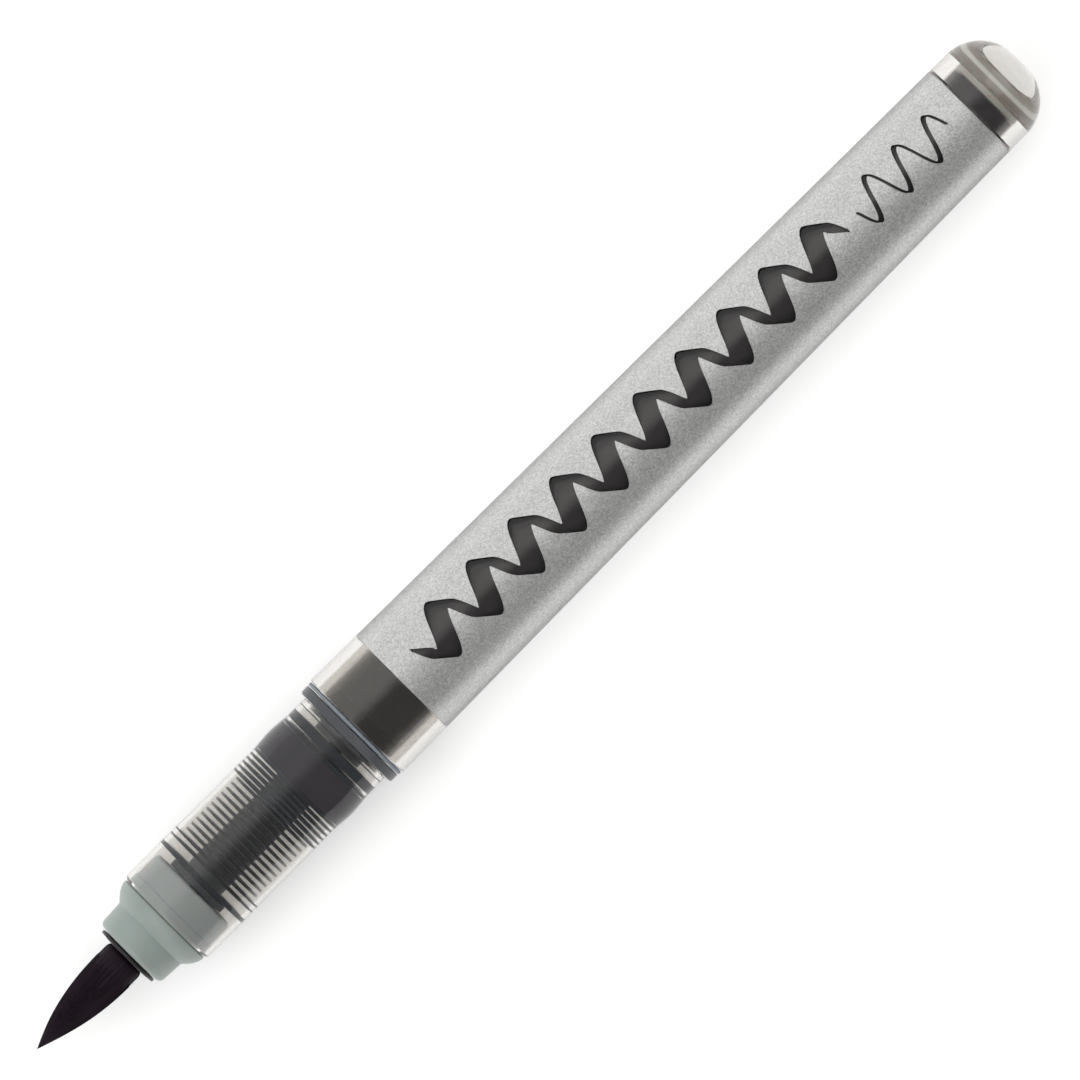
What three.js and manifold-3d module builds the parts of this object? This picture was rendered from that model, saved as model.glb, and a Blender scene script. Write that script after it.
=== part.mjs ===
// An uncapped free-ink brush marker, lying on its side: brush towards -X, rear end towards +X, +Z up.
// Every piece is turned about the marker's axis: its outline is a path of radius against distance from
// its own front face, and it stands at a station, the distance from the brush's point to that face.
import * as THREE from 'three';
import * as BufferGeometryUtils from 'three/addons/utils/BufferGeometryUtils.js';
import Module from 'manifold-3d';

const wasm = await Module();
wasm.setup();

// ---- Driving dimensions, in millimetres ----

// Fits
const flats = 24; // flat sides round every turned piece, one of them underneath
const pushGap = 0.15; // radial clearance of a piece pushed into another
const seatGap = 0.12; // clearance along the axis between pieces that rest on each other
const filmGap = 0.05; // between the barrel and the film round it
const inkGap = 0.05; // between the ink and the wall that holds it

// Brush
const tuftLength = 12.55; // from the point to the collar
const tuftRadius = 2.28;
const tuftFullness = 2.1; // exponent of the leaf-shaped taper
const bendReach = 1.55; // from the collar forward to the centre that the brush bends about
const rootLength = 4.2;

// Collar that holds the brush
const collarSetback = 0.63; // how far the disc's rim lies inside the nose's
const collarThickness = 0.4;
const collarEdge = 0.15;
const stemWall = 0.45;
const stemLength = 5.6;

// Nose
const noseRadius = 4.1;
const noseTaper = 0.15; // growth of the radius along the straight part
const noseLength = 2.83;
const noseEdge = 0.6;
const shoulderSetback = 0.3; // how far the shoulder lies below the section's front
const shoulderLength = 2;
const shoulderRise = 1; // stretch of the shoulder that climbs before it rounds off
const landLength = 1.3; // stretch of the plug that fills the section's bore
const plugRelief = 0.12; // how far the rest of the plug lies below that stretch
const plugLength = 4.1;
const plugEdge = 0.25;

// Washer behind the nose's plug
const washerRadius = 3.4;
const washerThickness = 0.7;

// Clear section
const sleeveRadius = 5.55; // at the rear, in front of the flange
const sleeveTaper = 0.15; // extra radius at the front
const sleeveLength = 24.88;
const sleeveWall = 0.5;
const sleeveChamfer = 0.3;
const swellingToFlange = 4.7; // from the middle of the swelling to the section's rear face
const swellingHalfLength = 2.3;
const swellingHeight = 0.17;
const stepLand = 0.6; // depth of the inner step that stands behind the collector
const tenonSetback = 0.35; // how far the tenon lies below the section's outside
const tenonWall = 0.55;
const tenonLength = 6.6; // inside the barrel, as far as the film

// Flange and gasket
const flangeSetback = 0.2; // how far the flange lies below the barrel's mouth
const flangeThickness = 0.96;
const flangeEdge = 0.25;
const registerPlay = 0.1; // round the section's rear end, in a shallow register in the flange's face
const registerDepth = 0.12;
const gasketSetback = 0.15;
const gasketThickness = 0.33;

// Wick and collector
const wickRadius = 0.8;
const feederEntry = 2; // length of the nib's feeder inside the collector
const hubRadius = 2.25;
const finSetback = 0.05; // what the fins keep off the section's bore beside the push gap
const frontDiscThickness = 0.45;
const openFinStart = 1.36; // from the collector's front face
const openFinPitch = 0.69;
const openFinThickness = 0.22;
const denseFinPitch = 0.56;
const denseFinCount = 5;
const denseFinThickness = 0.3;
const chamberLength = 3.6;
const chamberDiscThickness = 0.4;
const rearDiscSpace = 0.3;
const rearDiscThickness = 1;
const airNotchWidth = 0.9;
const airNotchFloor = 3.1; // radius of the air notch's floor

// Adapter between collector and tank
const adapterInset = 0.26; // from the section's inner step back to the adapter's disc
const neckRadius = 2.9;
const neckLength = 0.9;
const adapterDiscThickness = 1.6;
const spigotRadius = 2.2;
const spigotLength = 4.6;

// Barrel
const barrelLength = 92.05;
const barrelTaper = 0.815; // loss of radius from the mouth to the film's rear edge
const barrelWall = 1.05; // at the mouth
const barrelRearWall = 1.1; // in front of the cup that holds the tank
const cupDepth = 4;
const cupLeadIn = 0.8;
const mouthEdge = 0.15;
const domeRadius = 4.6;
const endThickness = 2.7;
const innerDomeRadius = 1.7;

// Film round the barrel
const filmStart = 6.2; // from the barrel's mouth
const filmToEnd = 7; // from the film's rear edge to the end of the barrel
const filmThickness = 0.15;
const filmInset = 0.03; // how far the film lies below the clear plastic

// Tank inside the barrel
const tankPlay = 0.2; // radial clearance between the tank and the tenon
const tankWall = 0.6;
const tankEndRoom = 0.3; // between the end plug and the barrel's inner end
const sealLength = 1.6;
const endPlugLength = 1.98;
const endPlugEdge = 1.5;
const endPlugStem = 2;
const spigotRoom = 0.4; // free space round the spigot's end

// ---- Radii worked out from those ----

const tenonRadius = sleeveRadius - tenonSetback;
const tenonBore = tenonRadius - tenonWall;
const ringBore = tenonRadius + pushGap;
const mouthRadius = tenonRadius + pushGap + barrelWall;
const filmLength = barrelLength - filmStart - filmToEnd;
const sleeveSlope = -sleeveTaper / sleeveLength;
const barrelSlope = -barrelTaper / (filmStart + filmLength);
const collarRadius = noseRadius - collarSetback;
const rootRadius = Math.sqrt(tuftRadius ** 2 - bendReach ** 2);
const collarBore = rootRadius + pushGap;
const stemRadius = collarBore + stemWall;
const noseBore = stemRadius + pushGap;
const shoulderRadius = sleeveAt(0) - shoulderSetback;
const landRadius = sleeveAt(landLength) - sleeveWall - pushGap;
const plugRadius = landRadius - plugRelief;
const wickBore = wickRadius + pushGap;
const finRadius = sleeveRadius - sleeveWall - pushGap - finSetback;
const flangeRadius = mouthRadius - flangeSetback;
const gasketRadius = mouthRadius - gasketSetback;
const adapterRadius = tenonBore - pushGap;
const tankFrontRadius = tenonBore - tankPlay;
const cupTop = barrelLength - endThickness - cupDepth;
const barrelRearBore = barrelAt(cupTop) - barrelRearWall;
const cupRadius = barrelRearBore - cupLeadIn / 2;
const tankRearRadius = cupRadius - pushGap;
const endPlugStemRadius = tankRearRadius - tankWall - pushGap;

// ---- Stations: from the brush's point to each piece's front face ----

const bendStation = tuftLength - bendReach;
const collarStation = tuftLength;
const rootStation = bendStation + tuftRadius + seatGap;
const noseStation = collarStation + collarThickness + seatGap;
const shoulderEnd = noseStation + noseLength + shoulderLength;
const feederStation = rootStation + rootLength + seatGap;
const washerStation = shoulderEnd + plugLength + seatGap;
const sleeveStation = shoulderEnd + seatGap;
const frontCollectorStation = washerStation + washerThickness + seatGap;
const wickStation = frontCollectorStation + feederEntry + seatGap;
const innerStep = sleeveLength - stepLand;
const adapterStation = sleeveStation + innerStep + adapterInset - neckLength;
const chamberStart = denseFinPitch * denseFinCount + chamberDiscThickness;
const rearDiscStart = chamberStart + chamberLength + chamberDiscThickness + rearDiscSpace;
const rearCollectorLength = rearDiscStart + rearDiscThickness;
const rearCollectorStation = adapterStation - seatGap - rearCollectorLength;
const frontCollectorLength = rearCollectorStation - seatGap - frontCollectorStation;
const openFinRoom = frontCollectorLength - openFinStart - openFinThickness;
const openFinCount = Math.floor(openFinRoom / openFinPitch) + 1;
const spigotStart = neckLength + adapterDiscThickness;
const spigotEnd = adapterStation + spigotStart + spigotLength;
const flangeStation = sleeveStation + sleeveLength + seatGap;
const gasketStation = flangeStation + flangeThickness + seatGap;
const barrelStation = gasketStation + gasketThickness + seatGap;
const tankStation = adapterStation + spigotStart + seatGap;
const overallLength = barrelStation + barrelLength;
const tankEnd = overallLength - endThickness - tankEndRoom - endPlugLength - seatGap;
const tankLength = tankEnd - tankStation;

// ---- Finishes ----

const clearPlastic = finish(0xe9e6e0, 0.08, 0);
const paleNose = finish(0xa5b2ac, 0.4, 0);
const blackPlastic = finish(0x1a1a1c, 0.45, 0);
const smokeGrey = finish(0x55585c, 0.3, 0);
const greyPlug = finish(0xaaa69f, 0.45, 0);
const silverFilm = finish(0xc3c3c1, 0.35, 0.9);
const darkInk = finish(0x2c2530, 0.1, 0);
const wetBrush = finish(0x26202a, 0.35, 0);
const fibre = finish(0x5b5560, 0.9, 0);
const darkRubber = finish(0x242527, 0.75, 0);

function finish(color, roughness, metalness) {
  return new THREE.MeshStandardMaterial({ color, roughness, metalness });
}

// ---- Tapered outsides ----

// The section's outer radius at a distance from its front edge, without the swelling.
function sleeveAt(distance) {
  return sleeveRadius + sleeveTaper + sleeveSlope * distance;
}

// The barrel's outer radius at a distance from its mouth, in front of the dome.
function barrelAt(distance) {
  return mouthRadius + barrelSlope * distance;
}

// ---- Helpers ----

// A solid of revolution about the Y axis. The outline keeps the material on its left, and either closes
// on itself or has both ends on the axis. The flats touch the outline's radius, so the corners stand
// outside it.
function turned(outline, roundSteps = 4) {
  const cornerScale = 1 / Math.cos(Math.PI / flats);
  const points = outline.getPoints(roundSteps).map((p) => new THREE.Vector2(p.x * cornerScale, p.y));
  return new THREE.LatheGeometry(points, flats, Math.PI / flats, 2 * Math.PI);
}

// A straight or tapered tube from its own front face.
function tube(length, frontBore, frontRadius, rearBore = frontBore, rearRadius = frontRadius) {
  const outline = new THREE.Path();
  outline.moveTo(frontBore, 0);
  outline.lineTo(frontRadius, 0);
  outline.lineTo(rearRadius, length);
  outline.lineTo(rearBore, length);
  outline.lineTo(frontBore, 0);
  return turned(outline);
}

// A plain rod with its front end at 0.
function rod(length, radius) {
  const outline = new THREE.Path();
  outline.moveTo(0, 0);
  outline.lineTo(radius, 0);
  outline.lineTo(radius, length);
  outline.lineTo(0, length);
  return turned(outline);
}

// Adds a rounded corner between a front face and the outside that follows it.
function frontCorner(outline, radius, station, edge) {
  outline.lineTo(radius - edge, station);
  outline.absarc(radius - edge, station + edge, edge, -Math.PI / 2, 0, false);
}

// Adds a rounded corner between the outside and the rear face that follows it.
function rearCorner(outline, radius, station, edge) {
  outline.lineTo(radius, station - edge);
  outline.absarc(radius - edge, station - edge, edge, 0, Math.PI / 2, false);
}

// Adds one disc that stands out of a hub.
function disc(outline, hub, radius, start, thickness) {
  outline.lineTo(hub, start);
  outline.lineTo(radius, start);
  outline.lineTo(radius, start + thickness);
  outline.lineTo(hub, start + thickness);
}

function manifoldOf(geometry) {
  const bare = geometry.clone();
  bare.deleteAttribute('normal');
  bare.deleteAttribute('uv');
  const merged = BufferGeometryUtils.mergeVertices(bare, 1e-4);
  const triVerts = new Uint32Array(merged.index.array);
  const vertProperties = new Float32Array(merged.attributes.position.array);
  return new wasm.Manifold(new wasm.Mesh({ numProp: 3, vertProperties, triVerts }));
}

// The first solid without the second.
function cut(geometry, tool) {
  const mesh = manifoldOf(geometry).subtract(manifoldOf(tool)).getMesh();
  const result = new THREE.BufferGeometry();
  result.setAttribute('position', new THREE.BufferAttribute(mesh.vertProperties, 3));
  result.setIndex(new THREE.BufferAttribute(mesh.triVerts, 1));
  result.computeVertexNormals();
  return result;
}

// A named piece at its station.
function piece(name, geometry, material, station) {
  const mesh = new THREE.Mesh(geometry, material);
  mesh.name = name;
  mesh.position.y = station;
  return mesh;
}

// ---- Brush and what holds it ----

// The brush: a leaf-shaped taper, then a ball-shaped heel about the centre that it bends round, so that
// it turns inside the collar without touching it.
function brushTuft() {
  const leafSteps = 10;
  const heelSteps = 5;
  const outline = new THREE.Path();
  outline.moveTo(0, 0);
  for (let step = 1; step <= leafSteps; step += 1) {
    const share = step / leafSteps;
    outline.lineTo(tuftRadius * (1 - (1 - share) ** tuftFullness), bendStation * share);
  }
  for (let step = 1; step <= heelSteps; step += 1) {
    const angle = (step / heelSteps) * (Math.PI / 2);
    const radius = step < heelSteps ? tuftRadius * Math.cos(angle) : 0;
    outline.lineTo(radius, bendStation + tuftRadius * Math.sin(angle));
  }
  return turned(outline);
}

function nibCollar() {
  const outline = new THREE.Path();
  outline.moveTo(collarBore, 0);
  frontCorner(outline, collarRadius, 0, collarEdge);
  outline.lineTo(collarRadius, collarThickness);
  outline.lineTo(stemRadius, collarThickness);
  outline.lineTo(stemRadius, collarThickness + stemLength);
  outline.lineTo(collarBore, collarThickness + stemLength);
  outline.lineTo(collarBore, 0);
  return turned(outline);
}

// The fibre rod that carries ink from the collector's wick to the brush's root.
function nibFeeder() {
  return rod(frontCollectorStation + feederEntry - feederStation, wickRadius);
}

function noseCone() {
  const shoulderStart = noseLength;
  const shoulderTop = shoulderStart + shoulderLength;
  const end = shoulderTop + plugLength;
  const outline = new THREE.Path();
  outline.moveTo(noseBore, 0);
  frontCorner(outline, noseRadius, 0, noseEdge);
  outline.lineTo(noseRadius + noseTaper, shoulderStart);
  outline.quadraticCurveTo(shoulderRadius, shoulderStart + shoulderRise, shoulderRadius, shoulderTop);
  outline.lineTo(landRadius, shoulderTop);
  outline.lineTo(landRadius, shoulderTop + landLength);
  outline.lineTo(plugRadius, shoulderTop + landLength);
  rearCorner(outline, plugRadius, end, plugEdge);
  outline.lineTo(noseBore, end);
  outline.lineTo(noseBore, 0);
  return turned(outline);
}

// ---- Section ----

// The clear section: a tapered tube with a soft swelling for the cap, an inner step behind the
// collector, and a tenon that enters the barrel.
function sectionSleeve() {
  const end = barrelStation + tenonLength - sleeveStation;
  const swellingCentre = sleeveLength - swellingToFlange;
  const swellStart = swellingCentre - swellingHalfLength;
  const swellEnd = swellingCentre + swellingHalfLength;
  const outline = new THREE.Path();
  outline.moveTo(sleeveAt(0) - sleeveWall, 0);
  outline.lineTo(sleeveAt(0) - sleeveChamfer, 0);
  outline.lineTo(sleeveAt(sleeveChamfer), sleeveChamfer);
  outline.lineTo(sleeveAt(swellStart), swellStart);
  outline.quadraticCurveTo(
    sleeveAt(swellingCentre) + 2 * swellingHeight, swellingCentre,
    sleeveAt(swellEnd), swellEnd,
  );
  outline.lineTo(sleeveRadius, sleeveLength);
  outline.lineTo(tenonRadius, sleeveLength);
  outline.lineTo(tenonRadius, end);
  outline.lineTo(tenonBore, end);
  outline.lineTo(tenonBore, innerStep);
  outline.lineTo(sleeveAt(innerStep) - sleeveWall, innerStep);
  outline.lineTo(sleeveAt(0) - sleeveWall, 0);
  return turned(outline, 6);
}

// The flange: a ring whose front face is the cap's seat, with a shallow register behind the section.
function flangeRing() {
  const register = sleeveRadius + registerPlay;
  const outline = new THREE.Path();
  outline.moveTo(ringBore, registerDepth);
  outline.lineTo(register, registerDepth);
  outline.lineTo(register, 0);
  frontCorner(outline, flangeRadius, 0, flangeEdge);
  outline.lineTo(flangeRadius, flangeThickness);
  outline.lineTo(ringBore, flangeThickness);
  outline.lineTo(ringBore, registerDepth);
  return turned(outline);
}

// The front of the collector: a hub with a disc and thin open fins, notched underneath to let air by.
function frontCollector() {
  const end = frontCollectorLength;
  const outline = new THREE.Path();
  outline.moveTo(wickBore, 0);
  disc(outline, hubRadius, finRadius, 0, frontDiscThickness);
  for (let fin = 0; fin < openFinCount; fin += 1) {
    disc(outline, hubRadius, finRadius, openFinStart + fin * openFinPitch, openFinThickness);
  }
  outline.lineTo(hubRadius, end);
  outline.lineTo(wickBore, end);
  outline.lineTo(wickBore, 0);
  const notch = new THREE.BoxGeometry(airNotchWidth, 2 * end, mouthRadius);
  notch.translate(0, end, -airNotchFloor - mouthRadius / 2);
  return cut(turned(outline), notch);
}

// The rear of the collector: close fins, then a chamber between two discs, then a thick disc.
function rearCollector() {
  const outline = new THREE.Path();
  outline.moveTo(wickBore, 0);
  for (let fin = 0; fin < denseFinCount; fin += 1) {
    disc(outline, hubRadius, finRadius, fin * denseFinPitch, denseFinThickness);
  }
  disc(outline, hubRadius, finRadius, chamberStart - chamberDiscThickness, chamberDiscThickness);
  disc(outline, hubRadius, finRadius, chamberStart + chamberLength, chamberDiscThickness);
  disc(outline, hubRadius, finRadius, rearDiscStart, rearDiscThickness);
  outline.lineTo(wickBore, rearCollectorLength);
  outline.lineTo(wickBore, 0);
  return turned(outline);
}

// The plug between collector and tank, with the spigot that enters the tank.
function tankAdapter() {
  const outline = new THREE.Path();
  outline.moveTo(wickBore, 0);
  outline.lineTo(neckRadius, 0);
  outline.lineTo(neckRadius, neckLength);
  outline.lineTo(adapterRadius, neckLength);
  outline.lineTo(adapterRadius, spigotStart);
  outline.lineTo(spigotRadius, spigotStart);
  outline.lineTo(spigotRadius, spigotStart + spigotLength);
  outline.lineTo(wickBore, spigotStart + spigotLength);
  outline.lineTo(wickBore, 0);
  return turned(outline);
}

// ---- Barrel ----

// The clear barrel: open at the mouth, a tapered bore, a cup that centres the tank, a domed end with a
// small flat, and a shallow recess that the film lies in.
function barrel() {
  const recess = filmThickness + filmGap + filmInset;
  const filmEnd = filmStart + filmLength;
  const domeStart = barrelLength - domeRadius;
  const domeRim = barrelAt(domeStart);
  const innerEnd = barrelLength - endThickness;
  const innerDomeRim = cupRadius - innerDomeRadius;
  const outline = new THREE.Path();
  outline.moveTo(0, innerEnd);
  outline.lineTo(innerDomeRim, innerEnd);
  outline.absarc(innerDomeRim, innerEnd - innerDomeRadius, innerDomeRadius, Math.PI / 2, 0, true);
  outline.lineTo(cupRadius, cupTop);
  outline.lineTo(barrelRearBore, cupTop - cupLeadIn);
  outline.lineTo(mouthRadius - barrelWall, 0);
  frontCorner(outline, mouthRadius, 0, mouthEdge);
  outline.lineTo(barrelAt(filmStart), filmStart);
  outline.lineTo(barrelAt(filmStart) - recess, filmStart);
  outline.lineTo(barrelAt(filmEnd) - recess, filmEnd);
  outline.lineTo(barrelAt(filmEnd), filmEnd);
  outline.lineTo(domeRim, domeStart);
  outline.absarc(domeRim - domeRadius, domeStart, domeRadius, 0, Math.PI / 2, false);
  outline.lineTo(0, barrelLength);
  return turned(outline, 6);
}

function barrelFilm() {
  const front = barrelAt(filmStart) - filmInset;
  const rear = barrelAt(filmStart + filmLength) - filmInset;
  return tube(filmLength - 2 * filmGap, front - filmThickness, front, rear - filmThickness, rear);
}

// ---- Tank ----

function inkTank() {
  return tube(
    tankLength,
    tankFrontRadius - tankWall,
    tankFrontRadius,
    tankRearRadius - tankWall,
    tankRearRadius,
  );
}

// The tank's bore at a distance from its mouth.
function tankBoreAt(distance) {
  return tankFrontRadius - tankWall + (tankRearRadius - tankFrontRadius) * (distance / tankLength);
}

function tankMouthSeal() {
  return tube(sealLength, spigotRadius + pushGap, tankBoreAt(sealLength) - inkGap);
}

// The ink: it fills the tank from the seal to the end plug, with a hollow where the spigot stands.
function tankInk() {
  const front = sealLength + seatGap;
  const length = tankLength - endPlugStem - seatGap - front;
  const hollow = spigotRadius + spigotRoom;
  const hollowDepth = spigotEnd + spigotRoom - tankStation - front;
  const outline = new THREE.Path();
  outline.moveTo(0, hollowDepth);
  outline.lineTo(hollow, hollowDepth);
  outline.lineTo(hollow, 0);
  outline.lineTo(tankBoreAt(front) - inkGap, 0);
  outline.lineTo(tankBoreAt(front + length) - inkGap, length);
  outline.lineTo(0, length);
  return turned(outline);
}

// The plug in the tank's rear end: a stem inside the tank and a rounded head against the cup.
function tankEndPlug() {
  const outline = new THREE.Path();
  outline.moveTo(0, 0);
  outline.lineTo(endPlugStemRadius, 0);
  outline.lineTo(endPlugStemRadius, endPlugStem + seatGap);
  outline.lineTo(tankRearRadius, endPlugStem + seatGap);
  rearCorner(outline, tankRearRadius, endPlugStem + seatGap + endPlugLength, endPlugEdge);
  outline.lineTo(0, endPlugStem + seatGap + endPlugLength);
  return turned(outline);
}

// ---- Assembly: one group for each unit that comes apart ----

const tip = new THREE.Group();
tip.add(piece('brush_tuft', brushTuft(), wetBrush, 0));

const nib = new THREE.Group();
nib.add(
  piece('nib_collar', nibCollar(), blackPlastic, collarStation),
  piece('brush_root', rod(rootLength, rootRadius), fibre, rootStation),
  piece('nib_feeder', nibFeeder(), fibre, feederStation),
  piece('nose_cone', noseCone(), paleNose, noseStation),
  tip,
);

const chamberInkLength = chamberLength - 2 * inkGap;
const wickLength = spigotEnd - seatGap - wickStation;
const section = new THREE.Group();
section.add(
  piece('section_sleeve', sectionSleeve(), clearPlastic, sleeveStation),
  piece('nose_seal', tube(washerThickness, wickBore, washerRadius), darkRubber, washerStation),
  piece('front_collector', frontCollector(), smokeGrey, frontCollectorStation),
  piece('rear_collector', rearCollector(), smokeGrey, rearCollectorStation),
  piece(
    'collector_ink',
    tube(chamberInkLength, hubRadius + inkGap, finRadius),
    darkInk,
    rearCollectorStation + chamberStart + inkGap,
  ),
  piece('feed_wick', rod(wickLength, wickRadius), fibre, wickStation),
  piece('tank_adapter', tankAdapter(), smokeGrey, adapterStation),
  piece('flange_ring', flangeRing(), smokeGrey, flangeStation),
  piece('barrel_gasket', tube(gasketThickness, ringBore, gasketRadius), greyPlug, gasketStation),
  nib,
);

const marker = new THREE.Group();
marker.add(
  piece('barrel', barrel(), clearPlastic, barrelStation),
  piece('barrel_film', barrelFilm(), silverFilm, barrelStation + filmStart + filmGap),
  piece('ink_tank', inkTank(), clearPlastic, tankStation),
  piece('tank_mouth_seal', tankMouthSeal(), darkRubber, tankStation),
  piece('tank_ink', tankInk(), darkInk, tankStation + sealLength + seatGap),
  piece('tank_end_plug', tankEndPlug(), greyPlug, tankEnd - endPlugStem),
  section,
);

// Lay the axis along X, with the middle of the length over the origin and the mouth on the ground.
marker.rotation.z = -Math.PI / 2;
marker.position.set(-overallLength / 2, 0, mouthRadius);

const model = new THREE.Group();
model.add(marker);

export default model;
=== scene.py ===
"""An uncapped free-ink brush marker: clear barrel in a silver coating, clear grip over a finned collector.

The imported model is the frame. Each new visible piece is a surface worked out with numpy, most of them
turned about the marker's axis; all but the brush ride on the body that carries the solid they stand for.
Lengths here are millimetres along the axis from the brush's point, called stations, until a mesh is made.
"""

import logging  # noqa: E402
import math  # noqa: E402
from dataclasses import dataclass, field  # noqa: E402
from enum import Enum  # noqa: E402
from typing import Any, Sequence  # noqa: E402

import bpy  # noqa: E402
import numpy as np  # noqa: E402
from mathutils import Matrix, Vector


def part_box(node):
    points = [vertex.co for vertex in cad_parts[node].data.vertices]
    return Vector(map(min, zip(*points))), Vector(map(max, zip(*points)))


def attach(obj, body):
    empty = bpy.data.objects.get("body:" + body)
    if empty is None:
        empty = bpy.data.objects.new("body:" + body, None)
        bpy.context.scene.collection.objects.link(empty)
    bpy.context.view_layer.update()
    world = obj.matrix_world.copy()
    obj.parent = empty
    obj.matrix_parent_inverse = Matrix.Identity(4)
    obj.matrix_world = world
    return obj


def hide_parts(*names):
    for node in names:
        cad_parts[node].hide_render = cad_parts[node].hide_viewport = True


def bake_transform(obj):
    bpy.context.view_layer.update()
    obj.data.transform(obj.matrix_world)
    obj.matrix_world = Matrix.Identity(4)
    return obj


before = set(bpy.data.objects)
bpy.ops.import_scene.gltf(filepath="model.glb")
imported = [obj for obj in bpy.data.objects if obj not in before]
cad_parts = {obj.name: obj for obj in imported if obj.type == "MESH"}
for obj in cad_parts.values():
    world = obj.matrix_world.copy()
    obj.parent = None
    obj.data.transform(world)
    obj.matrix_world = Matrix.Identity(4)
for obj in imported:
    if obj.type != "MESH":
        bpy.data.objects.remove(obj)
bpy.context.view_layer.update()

log = logging.getLogger("marker")

MM = 0.001
SIDES = 144
ROUND_STEPS = 5
SUPPORT = 0.04  # distance of a support ring from a rounded corner
SHARP_ANGLE = math.radians(38)
ON_AXIS = 1e-6  # a radius below this is on the axis
SEAM = 0.02  # small step between two parts of an outline, or between ink and its walls
CONTACT = 0.012  # how far something wet reaches into the clear wall that it touches


class Body(str, Enum):
    """The bodies that the pieces ride on."""

    BARREL = "barrel_unit"
    SECTION = "section_unit"
    NIB = "nib_unit"
    TIP = "brush_tip"


# ---------------------------------------------------------------- places


@dataclass(frozen=True)
class Axis:
    """The marker's axis in the frame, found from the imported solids."""

    point: float  # X of the brush's point, in metres
    height: float  # height of the axis over the ground, in metres

    @classmethod
    def of_frame(cls) -> "Axis":
        """Read the axis from the brush and the barrel.

        Returns:
            The axis.
        """
        low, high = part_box("barrel")
        return cls(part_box("brush_tuft")[0][0], (low[2] + high[2]) / 2)

    def place(self, station: np.ndarray, radius: np.ndarray, angle: np.ndarray) -> np.ndarray:
        """Turn stations, radii and angles into points in metres.

        The angle runs from +Y over +Z: y = r cos(a), z = height + r sin(a).

        Args:
            station: Distances from the brush's point, in millimetres.
            radius: Distances from the axis, in millimetres.
            angle: Angles round the axis, in radians.

        Returns:
            An array with X, Y and Z on its last axis.
        """
        x = self.point + station * MM
        y = radius * np.cos(angle) * MM
        z = self.height + radius * np.sin(angle) * MM
        return np.stack(np.broadcast_arrays(x, y, z), axis=-1)

    def on(self, station: float) -> list[float]:
        """Give the place on the axis at a station, in metres."""
        return [self.point + station * MM, 0.0, self.height]

    def span(self, node: str) -> tuple[float, float]:
        """Give the stations of a node's front and rear ends.

        Args:
            node: The node's name.

        Returns:
            The two stations, in millimetres.
        """
        low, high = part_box(node)
        return (low[0] - self.point) / MM, (high[0] - self.point) / MM


AXIS = Axis.of_frame()
UP = math.pi / 2


# ---------------------------------------------------------------- outlines


def rounded(corners: Sequence[tuple[float, float, float]], closed: bool = True) -> np.ndarray:
    """Round the corners of an outline.

    Each corner becomes an arc that touches both its sides, with one support point a little way along
    each side so that the flats stay flat when the surface is shaded smooth.

    Args:
        corners: Station, radius and rounding of each corner, in order.
        closed: Whether the outline closes on itself.

    Returns:
        The outline's points, as station and radius.
    """
    points = np.array([corner[:2] for corner in corners], float)
    count = len(points)
    outline: list[np.ndarray] = []
    for index, (_, _, edge) in enumerate(corners):
        here = points[index]
        at_end = not closed and index in (0, count - 1)
        if edge <= 0 or at_end:
            outline.append(here[None])
            continue
        back = points[index - 1] - here
        ahead = points[(index + 1) % count] - here
        back_length, ahead_length = np.linalg.norm(back), np.linalg.norm(ahead)
        back, ahead = back / back_length, ahead / ahead_length
        half = math.acos(float(np.clip(back @ ahead, -1, 1))) / 2
        reach = min(edge / math.tan(half), 0.45 * back_length, 0.45 * ahead_length)
        radius = reach * math.tan(half)
        middle = back + ahead
        centre = here + middle / np.linalg.norm(middle) * radius / math.sin(half)
        start, end = here + back * reach - centre, here + ahead * reach - centre
        share = np.linspace(0, 1, ROUND_STEPS)[:, None]
        turn = math.pi - 2 * half
        arc = (np.sin((1 - share) * turn) * start + np.sin(share * turn) * end) / math.sin(turn)
        arc = centre + arc
        if back_length > 2 * (reach + SUPPORT):
            outline.append((here + back * (reach + SUPPORT))[None])
        outline.append(arc)
        if ahead_length > 2 * (reach + SUPPORT):
            outline.append((here + ahead * (reach + SUPPORT))[None])
    return np.vstack(outline)


def tube(start: float, end: float, bore: float, radius: float, edge: float) -> np.ndarray:
    """Give the outline of a plain ring or tube.

    Args:
        start: Station of the front face.
        end: Station of the rear face.
        bore: Inner radius.
        radius: Outer radius.
        edge: Rounding of all four edges.

    Returns:
        The closed outline.
    """
    return rounded([(start, bore, edge), (start, radius, edge), (end, radius, edge), (end, bore, edge)])


# ---------------------------------------------------------------- meshes


def around_axis(count: int) -> np.ndarray:
    """Give even angles once round the axis, in radians."""
    return np.arange(count) / count * 2 * math.pi


def mesh_from_grid(name: str, points: np.ndarray, faces: list[list[int]]) -> bpy.types.Object:
    """Put points and faces into a new object with smooth faces and sharp creases.

    Args:
        name: The object's name.
        points: Vertex positions in metres.
        faces: Vertex indices of each face.

    Returns:
        The new object, linked to the scene.
    """
    mesh = bpy.data.meshes.new(name)
    mesh.from_pydata(points.reshape(-1, 3).tolist(), [], faces)
    mesh.validate()
    mesh.polygons.foreach_set("use_smooth", np.ones(len(mesh.polygons), bool))
    mesh.set_sharp_from_angle(angle=SHARP_ANGLE)
    mesh.update()
    piece = bpy.data.objects.new(name, mesh)
    bpy.context.scene.collection.objects.link(piece)
    return piece


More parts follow.
